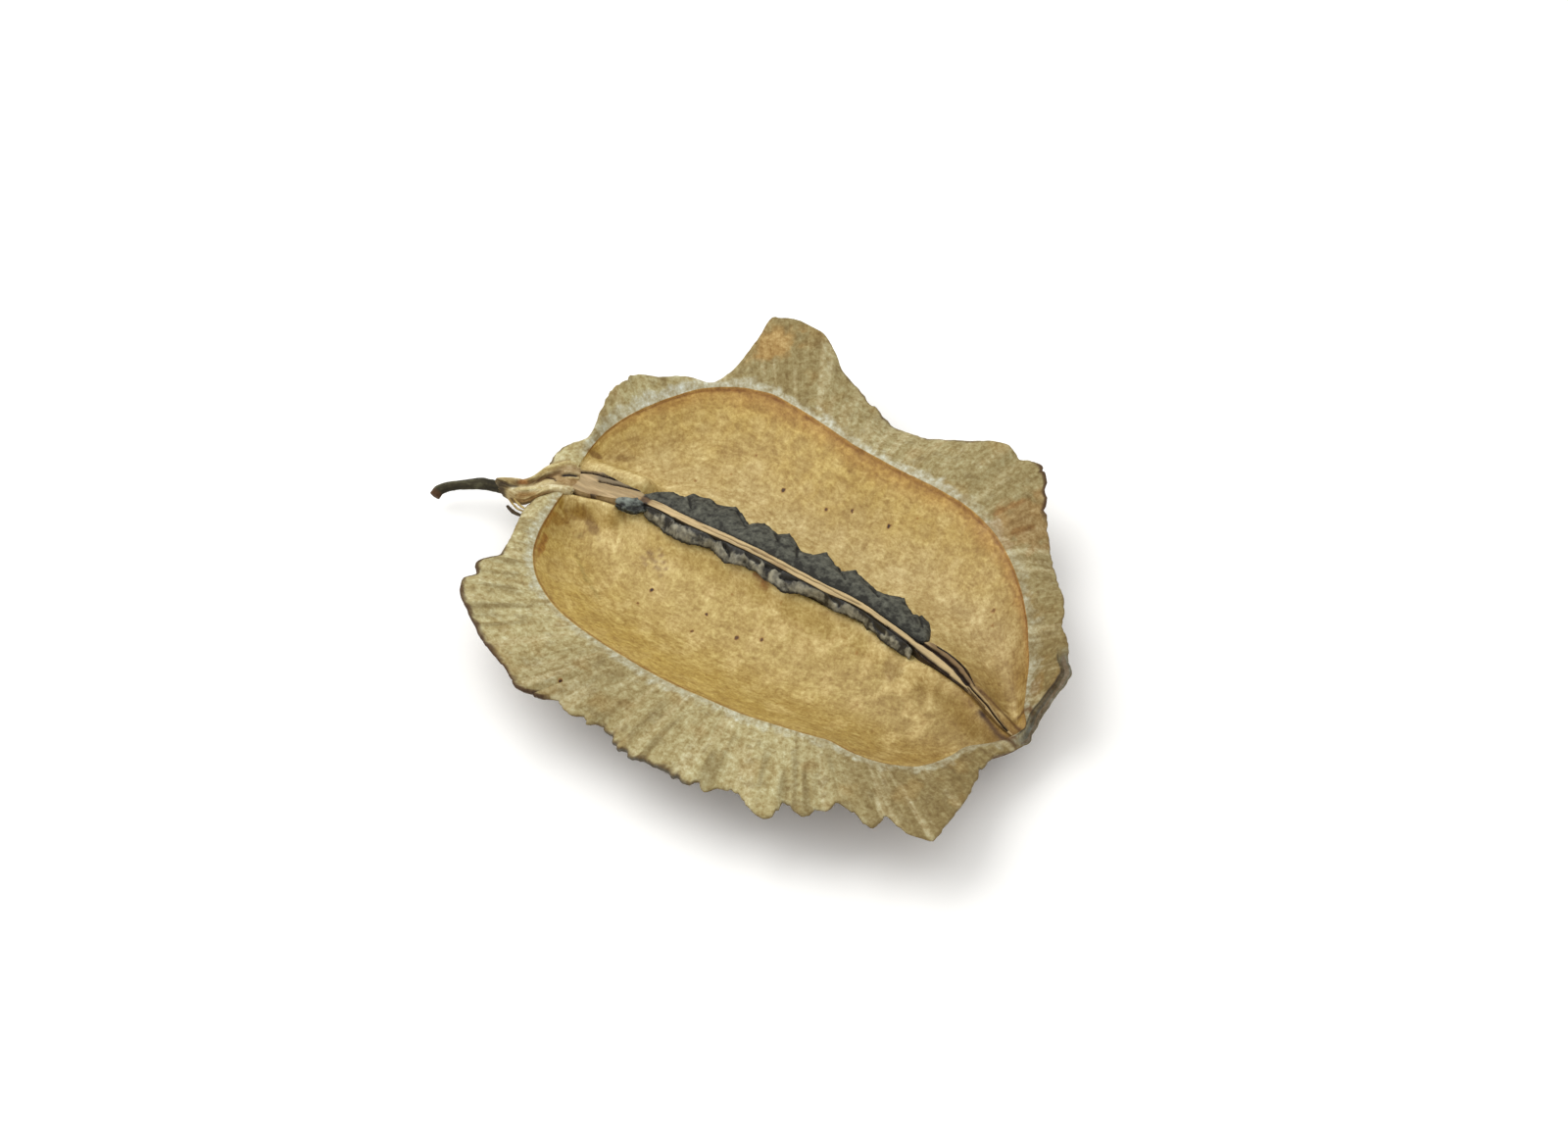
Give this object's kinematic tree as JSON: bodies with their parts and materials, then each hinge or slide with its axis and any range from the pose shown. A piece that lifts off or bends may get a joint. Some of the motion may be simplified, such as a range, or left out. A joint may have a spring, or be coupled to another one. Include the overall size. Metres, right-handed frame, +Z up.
{
  "type": "jacaranda seed pod valve",
  "caption": "Open valve of a dry jacaranda seed pod: a shallow woody dish with a wavy rim, a ridge with dark flaps and a bent stalk.",
  "frame": {"origin": "middle of the flat spot under the valve, on the surface that it rests on", "axes": "+X along the septum from the stalk to the tip, +Y across it, +Z up out of the open side"},
  "size_m": [0.0712, 0.0561, 0.01],
  "materials": {
    "pod_wood": "dry matt fibrous, golden lining in the hollows",
    "septum_wood": "dry, finely grooved",
    "dried_placenta": "wrinkled, satin",
    "stalk_bark": "dark matt bark"
  },
  "bodies": {
    "root": {"valve": "pod_wood", "septum": "septum_wood", "placenta_far": "dried_placenta", "placenta_near": "dried_placenta", "stalk": "stalk_bark"}
  },
  "joints": []
}
